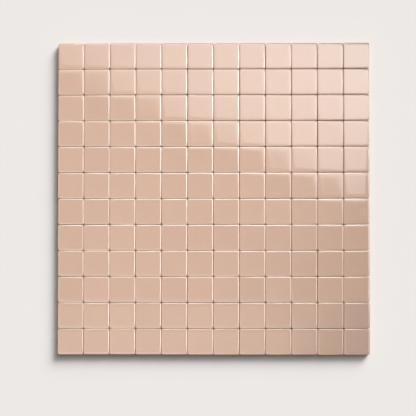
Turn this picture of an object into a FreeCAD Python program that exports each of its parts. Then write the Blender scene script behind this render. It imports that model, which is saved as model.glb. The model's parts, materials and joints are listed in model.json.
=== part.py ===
"""Mosaic tile sheet: glazed square tiles in rows and columns, glued face up on an open backing net.

Millimetres. The sheet lies flat with its glazed faces up. The origin is on the floor at the
middle of the sheet, +X runs along a row of tiles, +Y up a column of tiles and +Z up.
"""

import FreeCAD, Part
import math
import os
import random

V = FreeCAD.Vector

# The grid of tiles
COLUMNS = 12
ROWS = 12
TILE_PITCH = 25.0
JOINT = 0.28
PLACING_SCATTER = 0.4
PLACING_SEED = 20303

# One tile
TILE_THICKNESS = 6.0
CORNER_CUT = 0.7
SHOULDER_WIDTH = 0.2
SHOULDER_DEPTH = 0.2
CUSHION_WIDTH = 1.2
CUSHION_DEPTH = 0.25
BACK_TAPER = 0.25
BACK_TAPER_HEIGHT = 3.0

# The backing net
STRAND_PITCH = 5.0
STRAND_WIDTH = 0.9
STRAND_THICKNESS = 0.2
NET_SETBACK = 1.81
LOOSE_END = 2.0

TILE_SIDE = TILE_PITCH - JOINT
SHEET_LENGTH = COLUMNS * TILE_PITCH - JOINT
SHEET_WIDTH = ROWS * TILE_PITCH - JOINT
NET_LENGTH = SHEET_LENGTH - 2 * NET_SETBACK
NET_WIDTH = SHEET_WIDTH - 2 * NET_SETBACK
TILE_BOTTOM = 2 * STRAND_THICKNESS


def tile_section(reach, widening):
    """The tile's section up to reach on both sides of its middle: tapering back, upright wall,
    shoulder, cushion edge and flat face. Widening stretches its slopes sideways."""
    face_edge = TILE_THICKNESS - CUSHION_DEPTH
    wall_top = face_edge - SHOULDER_DEPTH
    shoulder = reach - SHOULDER_WIDTH * widening
    side = [
        (reach - BACK_TAPER * widening, 0),
        (reach, BACK_TAPER_HEIGHT),
        (reach, wall_top),
        (shoulder, face_edge),
        (shoulder - CUSHION_WIDTH * widening, TILE_THICKNESS),
    ]
    points = [V(u, 0, z) for u, z in side] + [V(-u, 0, z) for u, z in reversed(side)]
    return Part.Face(Part.makePolygon(points + points[:1]))


def tile_slab(reach, widening, turn):
    """That section drawn out well past the tile both ways, then turned about its middle."""
    slab = tile_section(reach, widening).extrude(V(0, 2 * TILE_SIDE, 0))
    slab.translate(V(0, -TILE_SIDE, 0))
    slab.rotate(V(0, 0, 0), V(0, 0, 1), turn)
    return slab


def make_tile():
    """One pressed tile: what two square slabs and two diagonal ones have in common, so the same
    edge runs round all four sides and over the cut corners."""
    side_reach = TILE_SIDE / 2
    corner_reach = (TILE_SIDE - CORNER_CUT) / math.sqrt(2)
    tile = tile_slab(side_reach, 1, 0).common(tile_slab(side_reach, 1, 90))
    for turn in (45, 135):
        tile = tile.common(tile_slab(corner_reach, math.sqrt(2), turn))
    return tile.Solids[0]


def centred(count, pitch):
    """Places of count things, pitch apart, centred on zero."""
    return [(i - (count - 1) / 2) * pitch for i in range(count)]


def make_rows():
    """The rows of tiles, from the far edge (+Y) to the near one, each tile a little off its place."""
    placing = random.Random(PLACING_SEED)
    reach = PLACING_SCATTER * JOINT
    tile = make_tile()
    rows = []
    for y in reversed(centred(ROWS, TILE_PITCH)):
        tiles = []
        for x in centred(COLUMNS, TILE_PITCH):
            copy = tile.copy()
            off = V(placing.uniform(-reach, reach), placing.uniform(-reach, reach), TILE_BOTTOM)
            copy.translate(V(x, y, 0) + off)
            tiles.append(copy)
        rows.append(Part.makeCompound(tiles))
    return rows


def strand_count(across):
    """How many strands fit in a net of this size, with a loose end left past the outer ones."""
    return int((across - STRAND_WIDTH - 2 * LOOSE_END) / STRAND_PITCH) + 1


def make_weft():
    """The strands along X, flat on the floor."""
    strands = []
    for y in centred(strand_count(NET_WIDTH), STRAND_PITCH):
        corner = V(-NET_LENGTH / 2, y - STRAND_WIDTH / 2, 0)
        strands.append(Part.makeBox(NET_LENGTH, STRAND_WIDTH, STRAND_THICKNESS, corner))
    return Part.makeCompound(strands)


def make_warp():
    """The strands along Y, between the weft and the backs of the tiles."""
    strands = []
    for x in centred(strand_count(NET_LENGTH), STRAND_PITCH):
        corner = V(x - STRAND_WIDTH / 2, -NET_WIDTH / 2, STRAND_THICKNESS)
        strands.append(Part.makeBox(STRAND_WIDTH, NET_WIDTH, STRAND_THICKNESS, corner))
    return Part.makeCompound(strands)


def save(name, shape):
    """Writes one node."""
    if not shape.isValid():
        raise RuntimeError(name + " is not a valid shape")
    shape.exportStep("parts/" + name + ".step")


os.makedirs("parts", exist_ok=True)
for number, row in enumerate(make_rows(), start=1):
    save("tile_row_%02d" % number, row)
save("net_weft", make_weft())
save("net_warp", make_warp())
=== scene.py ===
"""Mosaic tile sheet: 144 small glazed tiles, cushion edged, glued face up on a woven backing net.

Run as a script in Blender. Metres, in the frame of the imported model: the sheet lies flat on the
floor, its glazed faces up, with the origin under its middle.
"""

import json
import math
import random

import bmesh
import bpy
from bpy.props import FloatProperty, FloatVectorProperty, IntProperty, PointerProperty
from bpy.types import Operator, Panel, PropertyGroup
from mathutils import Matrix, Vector

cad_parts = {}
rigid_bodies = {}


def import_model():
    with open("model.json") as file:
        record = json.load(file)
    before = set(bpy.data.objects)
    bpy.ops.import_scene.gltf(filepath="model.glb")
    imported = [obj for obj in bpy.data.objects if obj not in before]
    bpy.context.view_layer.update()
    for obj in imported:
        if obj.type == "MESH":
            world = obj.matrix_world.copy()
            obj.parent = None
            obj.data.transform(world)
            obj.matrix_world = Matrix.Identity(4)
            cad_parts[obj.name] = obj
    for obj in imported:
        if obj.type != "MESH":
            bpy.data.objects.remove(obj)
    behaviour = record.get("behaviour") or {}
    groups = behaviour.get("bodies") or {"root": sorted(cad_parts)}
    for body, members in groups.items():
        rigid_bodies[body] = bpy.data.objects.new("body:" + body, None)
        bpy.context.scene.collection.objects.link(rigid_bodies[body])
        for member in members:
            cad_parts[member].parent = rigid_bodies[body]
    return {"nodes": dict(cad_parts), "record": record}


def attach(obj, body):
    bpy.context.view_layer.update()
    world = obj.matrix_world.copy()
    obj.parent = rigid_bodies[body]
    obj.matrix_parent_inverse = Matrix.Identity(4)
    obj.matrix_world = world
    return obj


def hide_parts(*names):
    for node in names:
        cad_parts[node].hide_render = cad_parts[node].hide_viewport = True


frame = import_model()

bl_info = {
    "name": "Mosaic Tile Sheet",
    "version": (1, 0, 0),
    "blender": (4, 5, 0),
    "location": "3D View > Sidebar > Tile Sheet",
    "description": "Models a net-backed sheet of small glazed tiles and lights it on a plain floor",
    "category": "Add Mesh",
}

MM = 0.001
# Corners nearer together than this are one.
MERGE_DISTANCE = 0.01 * MM
# A face looks up or down when its normal's upright part is more than this.
FACING = 0.9
# Edges that bend less than this are shaded smooth.
TILE_SMOOTH_ANGLE = math.radians(32)
NET_SMOOTH_ANGLE = math.radians(80)
# Scale of the filaments' pattern along a yarn, where it is 1 across it.
FILAMENT_STRETCH = 0.04

TILE_ROWS = sorted(name for name in frame["nodes"] if name.startswith("tile_row_"))
NET_LAYERS = ["net_weft", "net_warp"]
FINISHES = {entry["slot"]: entry for entry in frame["record"]["materials"]}
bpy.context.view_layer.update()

# The tile's section from the top of its upright wall to its face, as steps inwards and upwards:
# three round the arris, one is the cushion edge, two roll off onto the face, and the last one goes
# down into the face's faint dish.
CUSHION_STEPS = [
    (0.05 * MM, 0.13 * MM),
    (0.11 * MM, 0.08 * MM),
    (0.08 * MM, 0.024 * MM),
    (0.80 * MM, 0.175 * MM),
    (0.10 * MM, 0.012 * MM),
    (0.70 * MM, 0.043 * MM),
    (3.00 * MM, -0.06 * MM),
]

# The softboxes and cards that show in the glaze: name, place, turn in degrees, size, and the levels
# at the two ends of the near side and of the far side. The upper softbox and the lower card show in
# the faces of the tiles. The others are further out, so they show in the rounded edges alone.
SOFTBOXES = [
    ("upper_softbox", (0.016, 0.205, 0.506), -24.5, (0.46, 0.21), (2.35, 4.5), (3.3, 12.2)),
    ("far_softbox", (0.225, 0.494, 0.506), -24.5, (0.6, 0.49), (0.6, 0.4), (0.6, 0.4)),
    ("upper_left_card", (-0.273, 0.606, 0.506), -24.5, (0.4, 0.7), (1.8, 1.8), (1.8, 1.8)),
    ("lower_card", (-0.35, -0.67, 1.5), 0, (1.0, 1.0), (1.2, 1.2), (1.2, 1.2)),
    ("right_card", (3.75, -0.3, 10), 0, (2.5, 2.0), (17, 2.5), (17, 2.5)),
    ("upper_right_card", (4.35, 1.45, 10), 0, (3.7, 1.5), (13, 7.5), (12, 7)),
    ("rear_card", (-0.19, 4.18, 10), 0, (3.16, 1.94), (16, 6), (2.3, 5.6)),
    ("front_card", (-0.2, -1.1, 2.5), 0, (1.0, 1.2), (1.8, 0), (3.2, 0.6)),
    ("near_card", (-0.1, -1.55, 2.5), 0, (1.0, 0.4), (5.5, 3.5), (3, 1.5)),
    ("left_card", (-1.15, 0.1, 2.5), 0, (1.1, 1.4), (1.3, 1.3), (1.3, 1.3)),
]
# No part of a softbox gets brighter than this.
SOFTBOX_LIMIT = 20


class TileSizes(PropertyGroup):
    """Sizes of one tile and of the way the tiles are laid."""

    pitch: FloatProperty(
        name="Pitch",
        description="Distance from one tile to the next",
        default=25 * MM,
        unit="LENGTH",
    )
    side: FloatProperty(
        name="Side",
        description="Side of the square tile, a hair less than the CAD tile's",
        default=24.68 * MM,
        unit="LENGTH",
    )
    wall_top: FloatProperty(
        name="Wall top",
        description="Height of the upright walls above the tile's back",
        default=5.44 * MM,
        unit="LENGTH",
    )
    corner_cut: FloatProperty(
        name="Corner",
        description="How much of each side the rounded upright corner takes",
        default=1.3 * MM,
        unit="LENGTH",
    )
    back_taper: FloatProperty(
        name="Back taper",
        description="How far each wall draws in at the tile's back",
        default=0.25 * MM,
        unit="LENGTH",
    )
    taper_height: FloatProperty(
        name="Taper height",
        description="Height of the drawn-in part above the back",
        default=3 * MM,
        unit="LENGTH",
    )
    rib_width: FloatProperty(
        name="Rib",
        description="Width of the rim round each of the four pockets in the back",
        default=1.4 * MM,
        unit="LENGTH",
    )
    pocket_depth: FloatProperty(
        name="Pocket depth",
        description="Depth of the pockets in the back",
        default=0.35 * MM,
        unit="LENGTH",
    )
    pocket_slope: FloatProperty(
        name="Pocket slope",
        description="How far the sides of each pocket slope in",
        default=0.3 * MM,
        unit="LENGTH",
    )
    lean: FloatProperty(
        name="Lean",
        description="The most that a tile leans on its glue, each way",
        default=math.radians(0.25),
        subtype="ANGLE",
    )
    seed: IntProperty(
        name="Seed",
        description="Picks the chance leaning of the tiles",
        default=7,
    )


class NetSizes(PropertyGroup):
    """Sizes of the woven backing net."""

    length: FloatProperty(
        name="Length",
        description="Side of the square net",
        default=296.1 * MM,
        unit="LENGTH",
    )
    pitch: FloatProperty(
        name="Mesh",
        description="Distance from one yarn to the next, both ways",
        default=5 * MM,
        unit="LENGTH",
    )
    yarns: IntProperty(
        name="Yarns",
        description="Number of yarns each way",
        default=59,
    )
    weft_width: FloatProperty(
        name="Weft width",
        description="Width of the flat yarns along the rows of tiles",
        default=0.9 * MM,
        unit="LENGTH",
    )
    weft_thickness: FloatProperty(
        name="Weft thickness",
        description="Thickness of the flat yarns",
        default=0.12 * MM,
        unit="LENGTH",
    )
    thread_width: FloatProperty(
        name="Thread width",
        description="Width of each of the two threads that twist round the flat yarns",
        default=0.42 * MM,
        unit="LENGTH",
    )
    thread_thickness: FloatProperty(
        name="Thread thickness",
        description="Thickness of those threads",
        default=0.12 * MM,
        unit="LENGTH",
    )
    thickness: FloatProperty(
        name="Net thickness",
        description="Thickness of the whole net",
        default=0.4 * MM,
        unit="LENGTH",
    )
    swing: FloatProperty(
        name="Swing",
        description="How far a thread swings to each side as it twists",
        default=0.2 * MM,
        unit="LENGTH",
    )
    drift: FloatProperty(
        name="Drift",
        description="How far the yarns drift from straight lines",
        default=0.7 * MM,
        unit="LENGTH",
    )
    clearance: FloatProperty(
        name="Clearance",
        description="Gap that the threads keep from the floor and from the tiles",
        default=0.005 * MM,
        unit="LENGTH",
    )
    slack: FloatProperty(
        name="Slack",
        description="How far a thread stays short of the net's other side where it passes its partner",
        default=0.03 * MM,
        unit="LENGTH",
    )


class Finish(PropertyGroup):
    """Colours, gloss and fine relief of the tiles and the net, and how far glaze and glue reach. The
    glue film's dark brown is partly painted shade of the joints.
    """

    glaze: FloatVectorProperty(
        name="Glaze",
        description="Colour of the glaze",
        default=FINISHES["tile_glaze"]["base_color"],
        min=0,
        max=1,
        subtype="COLOR",
    )
    firing_spread: FloatProperty(
        name="Firing spread",
        description="How much lighter or darker than the glaze's colour a single tile may be",
        default=0.025,
        min=0,
        max=1,
        subtype="FACTOR",
    )
    body: FloatVectorProperty(
        name="Fired body",
        description="Colour of the bare fired body on the back and most of the walls",
        default=(0.60, 0.37, 0.26),
        min=0,
        max=1,
        subtype="COLOR",
    )
    yarn: FloatVectorProperty(
        name="Yarn",
        description="Colour of the coated glass yarn",
        default=FINISHES["net_yarn"]["base_color"],
        min=0,
        max=1,
        subtype="COLOR",
    )
    # Dark brown of the glue film on the net's upper side: partly real glue, partly painted shade of
    # the deep joints and their crossings.
    glue_and_shade: FloatVectorProperty(
        name="Glue",
        description="Colour of the glue film on the side of the net that the tiles stand on",
        default=(0.27, 0.17, 0.11),
        min=0,
        max=1,
        subtype="COLOR",
    )
    gloss_roughness: FloatProperty(
        name="Glaze roughness",
        description="Roughness of the fired glaze",
        default=0.1,
        min=0,
        max=1,
        subtype="FACTOR",
    )
    body_roughness: FloatProperty(
        name="Body roughness",
        description="Roughness of the bare fired body",
        default=0.85,
        min=0,
        max=1,
        subtype="FACTOR",
    )
    glaze_start: FloatProperty(
        name="Glaze start",
        description="Height above the floor where the glaze on the walls starts at the latest",
        default=5.2 * MM,
        unit="LENGTH",
    )
    glaze_full: FloatProperty(
        name="Glaze full",
        description="Height above the floor from which the glaze covers the walls everywhere",
        default=5.6 * MM,
        unit="LENGTH",
    )
    glaze_run: FloatProperty(
        name="Glaze run",
        description="How far down from there the glaze has run in places",
        default=0.9 * MM,
        unit="LENGTH",
    )
    ripple: FloatProperty(
        name="Ripple",
        description="Height of the faint ripple in the glaze and of the grain in the body",
        default=0.012 * MM,
        unit="LENGTH",
    )
    # Where the glue film, with its painted joint shade, starts and where it covers the yarns.
    glue_shade_start: FloatProperty(
        name="Glue start",
        description="Height in the net where the glue film starts",
        default=0.12 * MM,
        unit="LENGTH",
    )
    glue_shade_full: FloatProperty(
        name="Glue full",
        description="Height in the net from which the glue film covers the yarns",
        default=0.2 * MM,
        unit="LENGTH",
    )
    filament_relief: FloatProperty(
        name="Filament relief",
        description="Height of the filaments in the yarns",
        default=0.03 * MM,
        unit="LENGTH",
    )


class StageSettings(PropertyGroup):
    """The floor, the lamps and the camera."""

    floor: FloatVectorProperty(
        name="Floor",
        description="Colour of the plain floor",
        default=(0.85, 0.82, 0.797),
        min=0,
        max=1,
        subtype="COLOR",
    )
    key_strength: FloatProperty(
        name="Key",
        description="Strength of the soft main lamp",
        default=1.08,
    )
    floor_key_strength: FloatProperty(
        name="Floor key",
        description="Strength of a lower lamp that lights the floor alone",
        default=3.61,
    )
    key_turn: FloatProperty(
        name="Key turn",
        description="Where the three lamps stand, turned from +Y towards +X",
        default=math.radians(35),
        subtype="ANGLE",
    )
    key_height: FloatProperty(
        name="Key height",
        description="Height of the main lamp above the floor",
        default=math.radians(60),
        subtype="ANGLE",
    )
    key_spread: FloatProperty(
        name="Key spread",
        description="How wide the main lamp looks from the sheet",
        default=math.radians(60),
        subtype="ANGLE",
    )
    floor_key_height: FloatProperty(
        name="Floor key height",
        description="Height of the floor's lamp above the floor",
        default=math.radians(26),
        subtype="ANGLE",
    )
    floor_key_spread: FloatProperty(
        name="Floor key spread",
        description="How wide the floor's lamp looks from the sheet",
        default=math.radians(30),
        subtype="ANGLE",
    )
    low_key_strength: FloatProperty(
        name="Low key",
        description="Strength of the wide lamp that softens the floor's shadow",
        default=1.8,
    )
    low_key_height: FloatProperty(
        name="Low key height",
        description="Height of that lamp above the floor",
        default=math.radians(36),
        subtype="ANGLE",
    )
    low_key_spread: FloatProperty(
        name="Low key spread",
        description="How wide that lamp looks from the sheet",
        default=math.radians(60),
        subtype="ANGLE",
    )
    fill_strength: FloatProperty(
        name="Fill",
        description="Strength of the even light from all round",
        default=0.16,
    )
    pool_strength: FloatProperty(
        name="Pool",
        description="Strength of the pool of light on the tiles, which fades to the lower right",
        default=0.57,
    )
    surround_strength: FloatProperty(
        name="Surroundings",
        description="Brightness of the surroundings that the camera and the glaze see",
        default=0.85,
    )
    aim: FloatVectorProperty(
        name="Aim",
        description="The point on the tiles that the camera looks at",
        default=(-5.3 * MM, -9.2 * MM, 6 * MM),
        subtype="TRANSLATION",
        unit="LENGTH",
    )
    lens: FloatProperty(
        name="Lens",
        description="Focal length of the camera, in millimetres",
        default=134.9,
    )
    distance: FloatProperty(
        name="Distance",
        description="Distance from the camera to the sheet",
        default=1.5,
        unit="LENGTH",
    )
    tilt: FloatProperty(
        name="Tilt",
        description="How far the camera leans back from looking straight down",
        default=math.radians(1.56),
        subtype="ANGLE",
    )
    side_tilt: FloatProperty(
        name="Side tilt",
        description="How far the camera leans to the side",
        default=math.radians(1.25),
        subtype="ANGLE",
    )


def deselect_all():
    """Leaves nothing selected, in object mode."""
    if bpy.context.object and bpy.context.object.mode != "OBJECT":
        bpy.ops.object.mode_set(mode="OBJECT")
    bpy.ops.object.select_all(action="DESELECT")


def select_only(pieces):
    """Selects these objects and makes the first one active."""
    deselect_all()
    for piece in pieces:
        piece.select_set(True)
    bpy.context.view_layer.objects.active = pieces[0]


def start_editing(piece):
    """Opens a piece in edit mode with nothing in it selected."""
    select_only([piece])
    bpy.ops.object.mode_set(mode="EDIT")
    bpy.ops.mesh.select_all(action="DESELECT")


def pick_faces(test):
    """Selects the faces whose middle and normal pass the test."""
    bpy.ops.mesh.select_mode(type="FACE")
    bpy.ops.mesh.select_all(action="DESELECT")
    mesh = bpy.context.object.data
    shape = bmesh.from_edit_mesh(mesh)
    for face in shape.faces:
        face.select_set(test(face.calc_center_median(), face.normal))
    bmesh.update_edit_mesh(mesh)


def pick_edges(test):
    """Selects the edges whose two ends pass the test."""
    bpy.ops.mesh.select_mode(type="EDGE")
    bpy.ops.mesh.select_all(action="DESELECT")
    mesh = bpy.context.object.data
    shape = bmesh.from_edit_mesh(mesh)
    for edge in shape.edges:
        edge.select_set(test(edge.verts[0].co, edge.verts[1].co))
    bmesh.update_edit_mesh(mesh)


def shrink_selection(reach, inwards):
    """Draws the selection in towards the tile's middle, so that reach becomes smaller by inwards."""
    factor = (reach - inwards) / reach
    bpy.ops.transform.resize(value=(factor, factor, 1), center_override=(0, 0, 0))


def apply_place(piece):
    """Moves a piece's place into its mesh, so its object sits at the origin."""
    select_only([piece])
    bpy.ops.object.transform_apply(location=True, rotation=True, scale=True)


def apply_modifier(piece, kind, **settings):
    """Adds a modifier with these settings to a piece and applies it."""
    select_only([piece])
    bpy.ops.object.modifier_add(type=kind)
    modifier = piece.modifiers[-1]
    for name, value in settings.items():
        setattr(modifier, name, value)
    bpy.ops.object.modifier_apply(modifier=modifier.name)


def repeat(piece, count, step, join=False):
    """Repeats a piece in a line, each copy one step further, and may join copies that meet."""
    apply_modifier(
        piece,
        "ARRAY",
        count=count,
        use_relative_offset=False,
        use_constant_offset=True,
        constant_offset_displace=step,
        use_merge_vertices=join,
        merge_threshold=MERGE_DISTANCE,
    )


def model_tile(sizes):
    """One tile with its back on the floor: pocketed back, tapered foot, upright walls, round
    cushion edge and a face with a faint dish."""
    side = sizes.side
    half = side / 2
    bpy.ops.mesh.primitive_cube_add(
        size=1, location=(0, 0, sizes.wall_top / 2), scale=(side, side, sizes.wall_top)
    )
    tile = bpy.context.object
    apply_place(tile)
    start_editing(tile)
    for direction in ((1, 0, 0), (0, 1, 0)):
        pick_faces(lambda middle, normal: normal.z < -FACING)
        bpy.ops.mesh.bisect(plane_co=(0, 0, 0), plane_no=direction)
    pick_faces(lambda middle, normal: normal.z < -FACING)
    bpy.ops.mesh.inset(thickness=sizes.rib_width, depth=0, use_individual=True)
    bpy.ops.mesh.inset(
        thickness=sizes.pocket_slope, depth=-sizes.pocket_depth, use_individual=True
    )
    bpy.ops.mesh.select_all(action="SELECT")
    bpy.ops.mesh.bisect(plane_co=(0, 0, sizes.taper_height), plane_no=(0, 0, 1))
    back_top = sizes.pocket_depth * 1.5
    pick_edges(lambda a, b: max(a.z, b.z) < back_top)
    shrink_selection(half, sizes.back_taper)
    corner = half - sizes.back_taper * 1.5
    pick_edges(
        lambda a, b: abs(a.z - b.z) > MM and min(map(abs, (a.x, a.y, b.x, b.y))) > corner
    )
    bpy.ops.mesh.bevel(offset=sizes.corner_cut, segments=2, affect="EDGES")
    reach = half
    for inwards, upwards in CUSHION_STEPS:
        pick_faces(lambda middle, normal: normal.z > FACING and middle.xy.length < MM)
        bpy.ops.mesh.extrude_region_move(TRANSFORM_OT_translate={"value": (0, 0, upwards)})
        shrink_selection(reach, inwards)
        reach -= inwards
    bpy.ops.object.mode_set(mode="OBJECT")
    bpy.ops.object.shade_smooth_by_angle(angle=TILE_SMOOTH_ANGLE)
    return tile


def tile_places(node, pitch):
    """The middle of each tile of a CAD row, from left to right."""
    columns = {}
    # The middles of the tiles are half a pitch off whole pitches, so this numbers the columns.
    for vertex in frame["nodes"][node].data.vertices:
        columns.setdefault(round(vertex.co.x / pitch + 0.5), []).append(vertex.co)
    places = []
    for number in sorted(columns):
        corners = columns[number]
        places.append(
            (
                (min(c.x for c in corners) + max(c.x for c in corners)) / 2,
                (min(c.y for c in corners) + max(c.y for c in corners)) / 2,
                min(c.z for c in corners),
            )
        )
    return places


def lay_row(node, tile, sizes, leaning):
    """One row of copies of the tile, each leaning a little its own way, as one piece."""
    copies = []
    for place in tile_places(node, sizes.pitch):
        copy = tile.copy()
        copy.data = tile.data.copy()
        copy.location = place
        copy.rotation_euler = [leaning.uniform(-sizes.lean, sizes.lean) for _ in "xy"] + [0]
        bpy.context.collection.objects.link(copy)
        copies.append(copy)
    select_only(copies)
    bpy.ops.object.join()
    row = bpy.context.object
    row.name = "glazed_" + node
    apply_place(row)
    return row


def model_weft(sizes):
    """The flat yarns along the rows of tiles, between the two threads of each warp pair."""
    # A yarn is made of short lengths, so that it can drift from a straight line later.
    piece_length = sizes.length / sizes.yarns
    bpy.ops.mesh.primitive_cylinder_add(
        vertices=6,
        radius=0.5,
        depth=piece_length,
        end_fill_type="NOTHING",
        rotation=(0, math.pi / 2, 0),
        location=(
            (piece_length - sizes.length) / 2,
            -(sizes.yarns - 1) / 2 * sizes.pitch,
            sizes.thickness / 2,
        ),
    )
    weft = bpy.context.object
    weft.scale = (sizes.weft_thickness, sizes.weft_width, 1)
    apply_place(weft)
    repeat(weft, sizes.yarns, (piece_length, 0, 0), join=True)
    close_ends(weft)
    repeat(weft, sizes.yarns, (0, sizes.pitch, 0))
    return weft


def close_ends(yarn):
    """Fills the open ends of a yarn and turns its faces outwards."""
    start_editing(yarn)
    bpy.ops.mesh.select_mode(type="EDGE")
    bpy.ops.mesh.select_non_manifold(extend=False)
    bpy.ops.mesh.edge_face_add()
    bpy.ops.mesh.select_all(action="SELECT")
    bpy.ops.mesh.normals_make_consistent(inside=False)
    bpy.ops.object.mode_set(mode="OBJECT")


def model_thread(sizes, first_side, height_at_weft, height_between):
    """One thread of each warp pair. At every flat yarn it changes sides, and between them it
    passes its partner."""
    cell = sizes.pitch
    half_net = sizes.length / 2
    # The thread is made longer than the net, two cells at a time, and then cut at both edges.
    cells = sizes.yarns + 1
    bpy.ops.mesh.primitive_circle_add(
        vertices=4,
        radius=0.5,
        fill_type="NOTHING",
        rotation=(math.pi / 2, 0, 0),
        location=(
            first_side * sizes.swing - (sizes.yarns - 1) / 2 * cell,
            -(cells - 1) / 2 * cell,
            height_at_weft,
        ),
    )
    thread = bpy.context.object
    thread.scale = (sizes.thread_width, sizes.thread_thickness, 1)
    apply_place(thread)
    start_editing(thread)
    bpy.ops.mesh.select_all(action="SELECT")
    side = first_side
    rise = height_between - height_at_weft
    for _ in range(2):
        for up in (rise, -rise):
            bpy.ops.mesh.extrude_region_move(
                TRANSFORM_OT_translate={"value": (-side * sizes.swing, cell / 2, up)}
            )
        side = -side
    bpy.ops.object.mode_set(mode="OBJECT")
    repeat(thread, cells // 2 + 1, (0, 2 * cell, 0), join=True)
    start_editing(thread)
    bpy.ops.mesh.select_all(action="SELECT")
    bpy.ops.transform.translate(value=(0, -cell, 0))
    for end, direction in ((-half_net, 1), (half_net, -1)):
        bpy.ops.mesh.select_all(action="SELECT")
        bpy.ops.mesh.bisect(
            plane_co=(0, end, 0), plane_no=(0, direction, 0), clear_inner=True, use_fill=True
        )
    bpy.ops.mesh.select_all(action="SELECT")
    bpy.ops.mesh.normals_make_consistent(inside=False)
    bpy.ops.object.mode_set(mode="OBJECT")
    repeat(thread, sizes.yarns, (cell, 0, 0))
    return thread


def drift_yarns(net, amount):
    """Lets the yarns drift from straight lines, a little and together, as in cut net."""
    for axis, wave in (("X", 34 * MM), ("Y", 41 * MM)):
        cloud = bpy.data.textures.new("drift_" + axis.lower(), "CLOUDS")
        cloud.noise_scale = wave
        cloud.noise_depth = 1
        apply_modifier(
            net,
            "DISPLACE",
            texture=cloud,
            texture_coords="LOCAL",
            direction=axis,
            mid_level=0.5,
            strength=amount,
        )


def add_node(tree, kind, place, **settings):
    """Adds a node at a place in the tree, with these settings, and returns it."""
    node = tree.nodes.new(kind)
    node.location = place
    for name, value in settings.items():
        setattr(node, name, value)
    return node


def new_group(name, inputs, outputs):
    """A shader node group with its named sockets, and its two end nodes."""
    group = bpy.data.node_groups.new(name, "ShaderNodeTree")
    for label, kind, value in inputs:
        socket = group.interface.new_socket(name=label, in_out="INPUT", socket_type=kind)
        socket.default_value = value
    for label, kind in outputs:
        group.interface.new_socket(name=label, in_out="OUTPUT", socket_type=kind)
    entry = add_node(group, "NodeGroupInput", (-800, 0))
    leave = add_node(group, "NodeGroupOutput", (600, 0))
    return group, entry, leave


def make_mottle_group():
    """Soft clouds from 0 to 1, for the slight unevenness of a fired or dyed surface."""
    group, entry, leave = new_group(
        "Soft Mottle",
        [("Position", "NodeSocketVector", (0, 0, 0)), ("Scale", "NodeSocketFloat", 100)],
        [("Value", "NodeSocketFloat")],
    )
    cloud = add_node(group, "ShaderNodeTexNoise", (-500, 0))
    cloud.inputs["Detail"].default_value = 3
    cloud.inputs["Roughness"].default_value = 0.55
    spread = add_node(group, "ShaderNodeMapRange", (-200, 0))
    spread.inputs["From Min"].default_value = 0.3
    spread.inputs["From Max"].default_value = 0.7
    group.links.new(entry.outputs["Position"], cloud.inputs["Vector"])
    group.links.new(entry.outputs["Scale"], cloud.inputs["Scale"])
    group.links.new(cloud.outputs["Fac"], spread.inputs["Value"])
    group.links.new(spread.outputs["Result"], leave.inputs["Value"])
    return group


def make_cell_group():
    """A chance value from 0 to 1 that is the same all over one tile and differs on the next."""
    group, entry, leave = new_group(
        "Tile Chance",
        [("Position", "NodeSocketVector", (0, 0, 0)), ("Pitch", "NodeSocketFloat", 25 * MM)],
        [("Value", "NodeSocketFloat")],
    )
    split = add_node(group, "ShaderNodeSeparateXYZ", (-620, 0))
    joined = add_node(group, "ShaderNodeCombineXYZ", (0, 0))
    for row, axis in enumerate("XY"):
        divide = add_node(group, "ShaderNodeMath", (-440, -200 * row), operation="DIVIDE")
        floor = add_node(group, "ShaderNodeMath", (-240, -200 * row), operation="FLOOR")
        group.links.new(split.outputs[axis], divide.inputs[0])
        group.links.new(entry.outputs["Pitch"], divide.inputs[1])
        group.links.new(divide.outputs[0], floor.inputs[0])
        group.links.new(floor.outputs[0], joined.inputs[axis])
    chance = add_node(group, "ShaderNodeTexWhiteNoise", (200, 0), noise_dimensions="2D")
    group.links.new(entry.outputs["Position"], split.inputs["Vector"])
    group.links.new(joined.outputs["Vector"], chance.inputs["Vector"])
    group.links.new(chance.outputs["Value"], leave.inputs["Value"])
    return group


def make_between_group():
    """Two colours mixed by a value."""
    group, entry, leave = new_group(
        "Shade Between",
        [
            ("Value", "NodeSocketFloat", 0),
            ("First", "NodeSocketColor", (0, 0, 0, 1)),
            ("Second", "NodeSocketColor", (1, 1, 1, 1)),
        ],
        [("Color", "NodeSocketColor")],
    )
    mix = add_node(group, "ShaderNodeMix", (0, 0), data_type="RGBA")
    group.links.new(entry.outputs["Value"], mix.inputs["Factor"])
    group.links.new(entry.outputs["First"], mix.inputs[6])
    group.links.new(entry.outputs["Second"], mix.inputs[7])
    group.links.new(mix.outputs[2], leave.inputs["Color"])
    return group


def place_group(tree, group, place, **values):
    """Puts a node group in a material with its own values."""
    node = add_node(tree, "ShaderNodeGroup", place, node_tree=group)
    for label, value in values.items():
        node.inputs[label].default_value = value
    return node


def shade(colour, factor):
    """A colour made lighter or darker, with its opaque fourth value."""
    return tuple(min(1, part * factor) for part in colour) + (1,)


def new_material(name):
    """An empty procedural material: its tree, shader and position in the object's own space."""
    material = bpy.data.materials.new(name)
    material.use_nodes = True
    tree = material.node_tree
    shader = tree.nodes["Principled BSDF"]
    shader.location = (700, 0)
    tree.nodes["Material Output"].location = (1000, 0)
    position = add_node(tree, "ShaderNodeTexCoord", (-1000, 0))
    return material, tree, shader, position.outputs["Object"]


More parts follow.
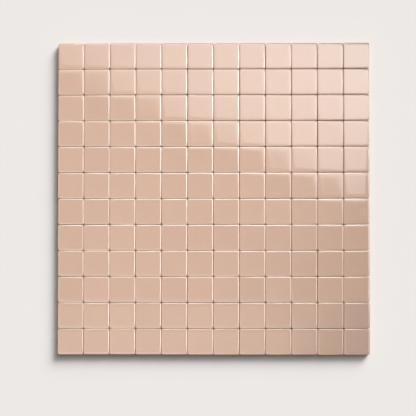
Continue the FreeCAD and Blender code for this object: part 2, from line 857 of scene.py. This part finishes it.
def make_tile_material(finish, sizes, groups):
    """Glossy glaze over the face, the cushion edge and the top of the walls, and bare fired body
    below it."""
    material, tree, shader, position = new_material("glazed_tile")
    link = tree.links.new
    chance = place_group(tree, groups["chance"], (-700, 400), Pitch=sizes.pitch)
    clouds = place_group(tree, groups["mottle"], (-700, 200), Scale=90)
    specks = place_group(tree, groups["mottle"], (-700, 0), Scale=900)
    for node in (chance, clouds, specks):
        link(position, node.inputs["Position"])
    firing = place_group(
        tree,
        groups["between"],
        (-400, 400),
        First=shade(finish.glaze, 1 - finish.firing_spread),
        Second=shade(finish.glaze, 1 + finish.firing_spread),
    )
    link(chance.outputs["Value"], firing.inputs["Value"])
    pooled = add_node(tree, "ShaderNodeMix", (-150, 300), data_type="RGBA", blend_type="MULTIPLY")
    tone = place_group(
        tree, groups["between"], (-400, 150), First=(0.985, 0.975, 0.97, 1), Second=(1, 1, 1, 1)
    )
    link(clouds.outputs["Value"], tone.inputs["Value"])
    pooled.inputs["Factor"].default_value = 1
    link(firing.outputs["Color"], pooled.inputs[6])
    link(tone.outputs["Color"], pooled.inputs[7])
    body = place_group(
        tree,
        groups["between"],
        (-400, -100),
        First=shade(finish.body, 0.93),
        Second=shade(finish.body, 1.05),
    )
    link(specks.outputs["Value"], body.inputs["Value"])
    height = add_node(tree, "ShaderNodeSeparateXYZ", (-700, -250))
    link(position, height.inputs["Vector"])
    runs = add_node(tree, "ShaderNodeMath", (-400, -300), operation="MULTIPLY_ADD")
    runs.inputs[1].default_value = finish.glaze_run
    link(clouds.outputs["Value"], runs.inputs[0])
    link(height.outputs["Z"], runs.inputs[2])
    glazed = add_node(tree, "ShaderNodeMapRange", (-150, -300), interpolation_type="SMOOTHSTEP")
    glazed.inputs["From Min"].default_value = finish.glaze_start
    glazed.inputs["From Max"].default_value = finish.glaze_full
    link(runs.outputs[0], glazed.inputs["Value"])
    colour = add_node(tree, "ShaderNodeMix", (200, 200), data_type="RGBA")
    link(glazed.outputs["Result"], colour.inputs["Factor"])
    link(body.outputs["Color"], colour.inputs[6])
    link(pooled.outputs[2], colour.inputs[7])
    link(colour.outputs[2], shader.inputs["Base Color"])
    gloss = add_node(tree, "ShaderNodeMix", (200, -100), data_type="FLOAT")
    gloss.inputs[2].default_value = finish.body_roughness
    gloss.inputs[3].default_value = finish.gloss_roughness
    link(glazed.outputs["Result"], gloss.inputs["Factor"])
    link(gloss.outputs[0], shader.inputs["Roughness"])
    relief = add_node(tree, "ShaderNodeMix", (200, -350), data_type="FLOAT")
    link(glazed.outputs["Result"], relief.inputs["Factor"])
    link(specks.outputs["Value"], relief.inputs[2])
    link(clouds.outputs["Value"], relief.inputs[3])
    bump = add_node(tree, "ShaderNodeBump", (450, -350))
    bump.inputs["Distance"].default_value = finish.ripple
    link(relief.outputs[0], bump.inputs["Height"])
    link(bump.outputs["Normal"], shader.inputs["Normal"])
    shader.inputs["IOR"].default_value = 1.5
    return material


def make_yarn_material(name, stretch, finish, groups):
    """Coated glass yarn, with its filaments running the way that stretch is smallest, and with the
    glue film on its upper side. That film's dark brown is partly glue and partly painted shade of the
    joints over it."""
    material, tree, shader, position = new_material(name)
    link = tree.links.new
    along = add_node(tree, "ShaderNodeMapping", (-800, 0))
    along.inputs["Scale"].default_value = stretch
    link(position, along.inputs["Vector"])
    filaments = place_group(tree, groups["mottle"], (-500, 100), Scale=1000)
    link(along.outputs["Vector"], filaments.inputs["Position"])
    coating = place_group(tree, groups["mottle"], (-500, -150), Scale=160)
    link(position, coating.inputs["Position"])
    colour = place_group(
        tree,
        groups["between"],
        (-200, 100),
        First=shade(finish.yarn, 0.88),
        Second=shade(finish.yarn, 1.04),
    )
    link(filaments.outputs["Value"], colour.inputs["Value"])
    # The glue film's dark brown is partly painted shade: it darkens the net that shows down the joints
    # and at their crossings.
    film = place_group(
        tree,
        groups["between"],
        (-200, 350),
        First=shade(finish.glue_and_shade, 0.88),
        Second=shade(finish.glue_and_shade, 1.12),
    )
    link(coating.outputs["Value"], film.inputs["Value"])
    height = add_node(tree, "ShaderNodeSeparateXYZ", (-500, 350))
    link(position, height.inputs["Vector"])
    # Mask of the net's upper side, which takes the film's painted shade.
    glued_and_shaded = add_node(tree, "ShaderNodeMapRange", (-200, 600))
    glued_and_shaded.inputs["From Min"].default_value = finish.glue_shade_start
    glued_and_shaded.inputs["From Max"].default_value = finish.glue_shade_full
    link(height.outputs["Z"], glued_and_shaded.inputs["Value"])
    surface = add_node(tree, "ShaderNodeMix", (150, 250), data_type="RGBA")
    link(glued_and_shaded.outputs["Result"], surface.inputs["Factor"])
    link(colour.outputs["Color"], surface.inputs[6])
    link(film.outputs["Color"], surface.inputs[7])
    link(surface.outputs[2], shader.inputs["Base Color"])
    sheen = add_node(tree, "ShaderNodeMapRange", (-200, -150))
    sheen.inputs["To Min"].default_value = 0.38
    sheen.inputs["To Max"].default_value = 0.6
    link(coating.outputs["Value"], sheen.inputs["Value"])
    link(sheen.outputs["Result"], shader.inputs["Roughness"])
    bump = add_node(tree, "ShaderNodeBump", (300, -250))
    bump.inputs["Distance"].default_value = finish.filament_relief
    link(filaments.outputs["Value"], bump.inputs["Height"])
    link(bump.outputs["Normal"], shader.inputs["Normal"])
    return material


def get_groups():
    """The shared node groups, built the first time that they are asked for."""
    makers = {
        "mottle": ("Soft Mottle", make_mottle_group),
        "chance": ("Tile Chance", make_cell_group),
        "between": ("Shade Between", make_between_group),
    }
    found = {}
    for key, (name, make) in makers.items():
        found[key] = bpy.data.node_groups.get(name) or make()
    return found


class LayTiles(Operator):
    """Models one tile and lays copies of it in the sheet's rows."""

    bl_idname = "tile_sheet.lay_tiles"
    bl_label = "Lay the tiles"

    def execute(self, context):
        sizes = context.scene.tile_sizes
        material = make_tile_material(context.scene.tile_finish, sizes, get_groups())
        deselect_all()
        tile = model_tile(sizes)
        tile.data.materials.append(material)
        leaning = random.Random(sizes.seed)
        for node in TILE_ROWS:
            row = lay_row(node, tile, sizes, leaning)
            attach(row, "root")
            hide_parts(node)
        bpy.data.objects.remove(tile)
        return {"FINISHED"}


class WeaveNet(Operator):
    """Weaves the backing net from flat yarns and pairs of twisted threads."""

    bl_idname = "tile_sheet.weave_net"
    bl_label = "Weave the backing net"

    def execute(self, context):
        sizes = context.scene.net_sizes
        finish = context.scene.tile_finish
        groups = get_groups()
        deselect_all()
        weft_yarn = make_yarn_material("weft_yarn", (FILAMENT_STRETCH, 1, 1), finish, groups)
        warp_thread = make_yarn_material("warp_thread", (1, FILAMENT_STRETCH, 1), finish, groups)
        weft = model_weft(sizes)
        weft.data.materials.append(weft_yarn)
        low = sizes.thread_thickness / 2 + sizes.clearance
        high = sizes.thickness - low
        over = model_thread(sizes, 1, high, low + sizes.slack)
        under = model_thread(sizes, -1, low, high - sizes.slack)
        for thread in (over, under):
            thread.data.materials.append(warp_thread)
        select_only([weft, over, under])
        bpy.ops.object.join()
        net = bpy.context.object
        net.name = "backing_net"
        drift_yarns(net, sizes.drift)
        select_only([net])
        bpy.ops.object.shade_smooth_by_angle(angle=NET_SMOOTH_ANGLE)
        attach(net, "root")
        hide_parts(*NET_LAYERS)
        return {"FINISHED"}


def add_floor(settings):
    """The plain pale floor."""
    bpy.ops.mesh.primitive_plane_add(size=12, location=(0, 0, 0))
    floor = bpy.context.object
    floor.name = "floor"
    material = bpy.data.materials.new("floor")
    material.use_nodes = True
    shader = material.node_tree.nodes["Principled BSDF"]
    shader.inputs["Base Color"].default_value = (*settings.floor, 1)
    shader.inputs["Roughness"].default_value = 1
    shader.inputs["Specular IOR Level"].default_value = 0
    floor.data.materials.append(material)
    return floor


def add_lamp(name, kind, place, aim, **settings):
    """A lamp at a place, pointing at aim."""
    bpy.ops.object.light_add(type=kind, location=place)
    lamp = bpy.context.object
    lamp.name = name
    direction = Vector(aim) - Vector(place)
    lamp.rotation_euler = direction.to_track_quat("-Z", "Y").to_euler()
    for label, value in settings.items():
        setattr(lamp.data, label, value)
    return lamp


def shine_on(lamp, pieces):
    """Lets a lamp light these pieces alone."""
    lit = bpy.data.collections.new(lamp.name + "_lights")
    for piece in pieces:
        lit.objects.link(piece)
    lamp.light_linking.receiver_collection = lit


def lamp_direction(turn, height):
    """The way to a lamp at this turn from +Y towards +X and this height above the floor."""
    flat = math.cos(height)
    return Vector((math.sin(turn) * flat, math.cos(turn) * flat, math.sin(height)))


def add_key(name, direction, spread, strength):
    """A soft lamp far off in this direction, which looks this wide from the sheet."""
    return add_lamp(name, "SUN", 3 * direction, (0, 0, 0), energy=strength, angle=spread)


def add_pool(settings):
    """A pool of light on the tiles, from overhead, that fades towards the lower right."""
    middle = Vector((-0.085, 0.01, 0))
    distance = 4
    reach = 0.375
    turn = math.radians(75)
    height = math.radians(86)
    # The power with which a spot this far off lights the tiles as a sun of that strength would.
    power = settings.pool_strength * 4 * math.pi**2 * distance**2 / math.sin(height)
    lamp = add_lamp(
        "pool",
        "SPOT",
        middle + distance * lamp_direction(turn, height),
        middle,
        energy=power,
        spot_size=2 * math.atan(reach / distance),
        spot_blend=1,
        shadow_soft_size=0.1,
    )
    lamp.visible_glossy = False
    return lamp


def add_softbox(name, place, turn, size, near, far):
    """A softbox over the sheet that shows in the glaze and adds no other light. Its level grows
    from the two values of its near side to those of its far side, each pair read along X."""
    bpy.ops.object.light_add(type="AREA", location=place, rotation=(0, 0, turn))
    lamp = bpy.context.object
    lamp.name = name
    lamp.data.shape = "RECTANGLE"
    lamp.data.size, lamp.data.size_y = size
    # With this power, a level of 1 is as bright as a surface of strength 1.
    lamp.data.energy = size[0] * size[1] * math.pi
    lamp.visible_diffuse = False
    lamp.visible_camera = False
    lamp.data.use_nodes = True
    tree = lamp.data.node_tree
    spot = add_node(tree, "ShaderNodeNewGeometry", (-1000, 0))
    split = add_node(tree, "ShaderNodeSeparateXYZ", (-800, 0))
    tree.links.new(spot.outputs["Parametric"], split.inputs["Vector"])
    level = add_node(tree, "ShaderNodeMix", (-400, 0), data_type="FLOAT")
    tree.links.new(split.outputs["Y"], level.inputs["Factor"])
    for row, ends in enumerate((near, far)):
        side = add_node(tree, "ShaderNodeMix", (-600, -250 * row), data_type="FLOAT")
        side.inputs[2].default_value, side.inputs[3].default_value = ends
        tree.links.new(split.outputs["X"], side.inputs["Factor"])
        tree.links.new(side.outputs[0], level.inputs[2 + row])
    capped = add_node(tree, "ShaderNodeClamp", (-200, 0))
    capped.inputs["Max"].default_value = SOFTBOX_LIMIT
    tree.links.new(level.outputs[0], capped.inputs["Value"])
    tree.links.new(capped.outputs[0], tree.nodes["Emission"].inputs["Strength"])


def set_world(settings):
    """Pale surroundings for the camera and for reflections, and an even fill light."""
    world = bpy.data.worlds.new("studio")
    bpy.context.scene.world = world
    world.use_nodes = True
    tree = world.node_tree
    background = tree.nodes["Background"]
    rays = add_node(tree, "ShaderNodeLightPath", (-900, 0))
    seen = add_node(tree, "ShaderNodeMath", (-600, 0), operation="MAXIMUM")
    any_of = add_node(tree, "ShaderNodeMath", (-400, 0), operation="MAXIMUM")
    level = add_node(tree, "ShaderNodeMapRange", (-200, 0))
    level.inputs["To Min"].default_value = settings.fill_strength
    level.inputs["To Max"].default_value = settings.surround_strength
    tree.links.new(rays.outputs["Is Camera Ray"], seen.inputs[0])
    tree.links.new(rays.outputs["Is Glossy Ray"], seen.inputs[1])
    tree.links.new(seen.outputs[0], any_of.inputs[0])
    tree.links.new(rays.outputs["Is Transmission Ray"], any_of.inputs[1])
    tree.links.new(any_of.outputs[0], level.inputs["Value"])
    tree.links.new(level.outputs["Result"], background.inputs["Strength"])
    background.inputs["Color"].default_value = (1, 0.985, 0.97, 1)


def add_camera(settings):
    """The camera over the sheet, leaning a little as the photograph's did."""
    back = math.tan(settings.tilt) * settings.distance
    aside = math.tan(settings.side_tilt) * settings.distance
    height = math.sqrt(settings.distance**2 - back**2 - aside**2)
    bpy.ops.object.camera_add(
        location=Vector(settings.aim) + Vector((aside, -back, height)),
        rotation=(settings.tilt, settings.side_tilt, 0),
    )
    camera = bpy.context.object
    camera.data.lens = settings.lens
    camera.data.clip_end = 100
    camera.data.dof.use_dof = False
    bpy.context.scene.camera = camera


class SetStage(Operator):
    """Adds the floor, the lamps, the pale surroundings and the camera."""

    bl_idname = "tile_sheet.set_stage"
    bl_label = "Set the stage"

    def execute(self, context):
        settings = context.scene.stage_settings
        deselect_all()
        floor = add_floor(settings)
        key_turn = settings.key_turn
        key = add_key(
            "key",
            lamp_direction(key_turn, settings.key_height),
            settings.key_spread,
            settings.key_strength,
        )
        key.visible_glossy = False
        floor_key = add_key(
            "floor_key",
            lamp_direction(key_turn, settings.floor_key_height),
            settings.floor_key_spread,
            settings.floor_key_strength,
        )
        low_key = add_key(
            "low_key",
            lamp_direction(key_turn, settings.low_key_height),
            settings.low_key_spread,
            settings.low_key_strength,
        )
        shine_on(floor_key, [floor])
        shine_on(low_key, [floor])
        sheet = [item for item in context.scene.objects if item.name.startswith("glazed_")]
        sheet.append(context.scene.objects["backing_net"])
        shine_on(key, sheet)
        shine_on(add_pool(settings), sheet)
        for name, place, turn, size, near, far in SOFTBOXES:
            add_softbox(name, place, math.radians(turn), size, near, far)
        set_world(settings)
        add_camera(settings)
        context.scene.view_settings.view_transform = "Standard"
        return {"FINISHED"}


class TileSheetPanel(Panel):
    """Lists the steps that build the tile sheet."""

    bl_idname = "VIEW3D_PT_tile_sheet"
    bl_label = "Mosaic Tile Sheet"
    bl_space_type = "VIEW_3D"
    bl_region_type = "UI"
    bl_category = "Tile Sheet"

    def draw(self, context):
        layout = self.layout
        scene = context.scene
        steps = (
            (LayTiles, scene.tile_sizes),
            (WeaveNet, scene.net_sizes),
            (SetStage, scene.stage_settings),
        )
        for step, settings in steps:
            box = layout.box()
            box.operator(step.bl_idname)
            for name in settings.__annotations__:
                box.prop(settings, name)
        finish = layout.box()
        for name in Finish.__annotations__:
            finish.prop(scene.tile_finish, name)


CLASSES = (
    TileSizes,
    NetSizes,
    Finish,
    StageSettings,
    LayTiles,
    WeaveNet,
    SetStage,
    TileSheetPanel,
)


def register():
    """Registers the classes and gives the scene its settings."""
    for item in CLASSES:
        bpy.utils.register_class(item)
    bpy.types.Scene.tile_sizes = PointerProperty(type=TileSizes)
    bpy.types.Scene.net_sizes = PointerProperty(type=NetSizes)
    bpy.types.Scene.tile_finish = PointerProperty(type=Finish)
    bpy.types.Scene.stage_settings = PointerProperty(type=StageSettings)


def unregister():
    """Takes back what register did."""
    del bpy.types.Scene.stage_settings
    del bpy.types.Scene.tile_finish
    del bpy.types.Scene.net_sizes
    del bpy.types.Scene.tile_sizes
    for item in reversed(CLASSES):
        bpy.utils.unregister_class(item)


def main():
    register()
    bpy.ops.tile_sheet.lay_tiles()
    bpy.ops.tile_sheet.weave_net()
    bpy.ops.tile_sheet.set_stage()


if __name__ == "__main__":
    main()
